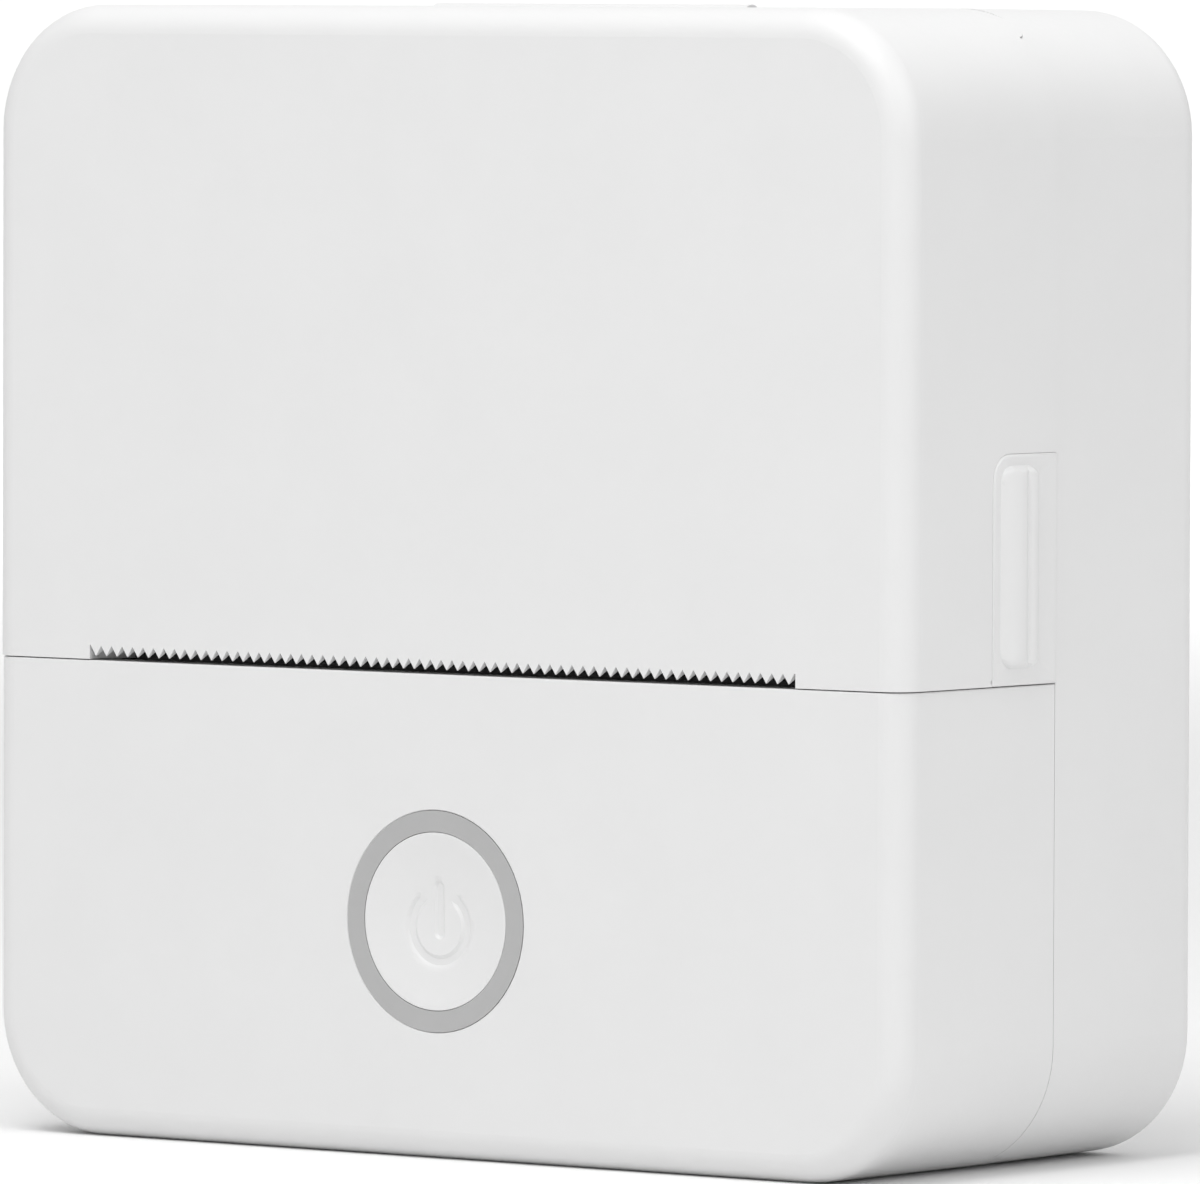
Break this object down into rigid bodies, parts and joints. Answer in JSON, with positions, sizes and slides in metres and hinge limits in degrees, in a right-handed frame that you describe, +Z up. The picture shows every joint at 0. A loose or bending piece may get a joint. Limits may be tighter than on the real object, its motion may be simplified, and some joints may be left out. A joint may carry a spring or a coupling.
{
  "type": "pocket printer",
  "caption": "Palm-sized thermal printer with a hinged paper cover, toothed tear slot, round power button and side release latch.",
  "frame": {"origin": "centre of the resting face, below the housing seam", "axes": "+X to the right seen from the front, +Y towards the back, +Z up; the front faces -Y"},
  "size_m": [0.0841, 0.037, 0.0832],
  "materials": {
    "shell_white": "fine matte moulded",
    "button_white": "fine matte moulded",
    "ring_grey": "translucent satin",
    "inner_black": "fine matte moulded",
    "inner_grey": "matte moulded",
    "gear_white": "moulded acetal",
    "rubber": "ground",
    "steel": "turned",
    "screw_steel": "black zinc",
    "spring_steel": "drawn",
    "sink_aluminium": "black anodised",
    "ceramic": "glazed",
    "resin_black": "epoxy",
    "board_green": "solder mask",
    "chip_black": "moulded",
    "light_lens": "clear yellow",
    "cell_foil": "laminated foil",
    "ribbon_orange": "polyimide film"
  },
  "bodies": {
    "chassis": {"back_shell": "shell_white", "front_shell": "shell_white", "light_ring": "ring_grey", "power_switch": "chip_black", "latch_spring": "spring_steel", "mechanism_frame": "inner_black", "gear_studs": "steel", "motor_body": "steel", "head_springs": "spring_steel", "hinge_pin": "steel", "paper_cradle": "inner_black", "paper_sensor": "chip_black", "main_board": "board_green", "board_chips": "chip_black", "status_lights": "light_lens", "charging_port": "steel", "head_ribbon": "ribbon_orange", "battery": "cell_foil", "case_screws": "screw_steel", "frame_screws": "screw_steel", "board_screws": "screw_steel", "motor_screws": "screw_steel"},
    "cover": {"cover_shell": "shell_white", "tear_bar": "shell_white", "platen_carrier": "inner_black", "platen_bushes": "inner_grey", "carrier_screws": "screw_steel"},
    "platen": {"platen_shaft": "steel", "platen_rubber": "rubber", "platen_gear": "gear_white"},
    "idler": {"idler_gear": "gear_white"},
    "reduction": {"reduction_gear": "gear_white"},
    "motor_rotor": {"motor_shaft": "steel", "motor_pinion": "gear_white"},
    "print_head": {"heat_sink": "sink_aluminium", "head_ceramic": "ceramic", "head_driver": "resin_black"},
    "power_button": {"power_button": "button_white"},
    "switch_plunger": {"switch_plunger": "chip_black"},
    "latch": {"latch_button": "shell_white"}
  },
  "joints": [
    {"name": "cover_hinge", "type": "hinge", "parent": "chassis", "child": "cover", "pos_m": [0, 0, 0.082], "axis": [-1, 0, 0], "range_deg": [0, 95]},
    {"name": "platen_spin", "type": "hinge", "parent": "cover", "child": "platen", "pos_m": [0, -0.012, 0.039], "axis": [1, 0, 0], "continuous": true},
    {"name": "idler_spin", "type": "hinge", "parent": "chassis", "child": "idler", "pos_m": [0, -0.00391, 0.03674], "axis": [1, 0, 0], "continuous": true},
    {"name": "reduction_spin", "type": "hinge", "parent": "chassis", "child": "reduction", "pos_m": [0, -0.00031, 0.03051], "axis": [1, 0, 0], "continuous": true},
    {"name": "motor_spin", "type": "hinge", "parent": "chassis", "child": "motor_rotor", "pos_m": [0, 0.0069, 0.02546], "axis": [1, 0, 0], "continuous": true},
    {"name": "head_tilt", "type": "hinge", "parent": "chassis", "child": "print_head", "pos_m": [0, -0.004, 0.0343], "axis": [1, 0, 0], "range_deg": [0, 1.5], "stiffness_Nm_per_rad": 0.6, "springref_deg": -4.58, "deforming": ["head_springs"]},
    {"name": "power_press", "type": "slide", "parent": "chassis", "child": "power_button", "axis": [0, 1, 0], "range_m": [0, 0.0003], "stiffness_N_per_m": 500, "springref_m": -0.0005},
    {"name": "plunger_press", "type": "slide", "parent": "chassis", "child": "switch_plunger", "axis": [0, 1, 0], "range_m": [0, 0.0003]},
    {"name": "latch_press", "type": "slide", "parent": "chassis", "child": "latch", "axis": [-1, 0, 0], "range_m": [0, 0.0015], "stiffness_N_per_m": 300, "springref_m": -0.001, "deforming": ["latch_spring"]}
  ],
  "couplings": [
    {"joint": "idler_spin", "follows": "platen_spin", "ratio": -0.75},
    {"joint": "reduction_spin", "follows": "platen_spin", "ratio": 1.5},
    {"joint": "motor_spin", "follows": "platen_spin", "ratio": -4},
    {"joint": "plunger_press", "follows": "power_press", "ratio": 1}
  ]
}
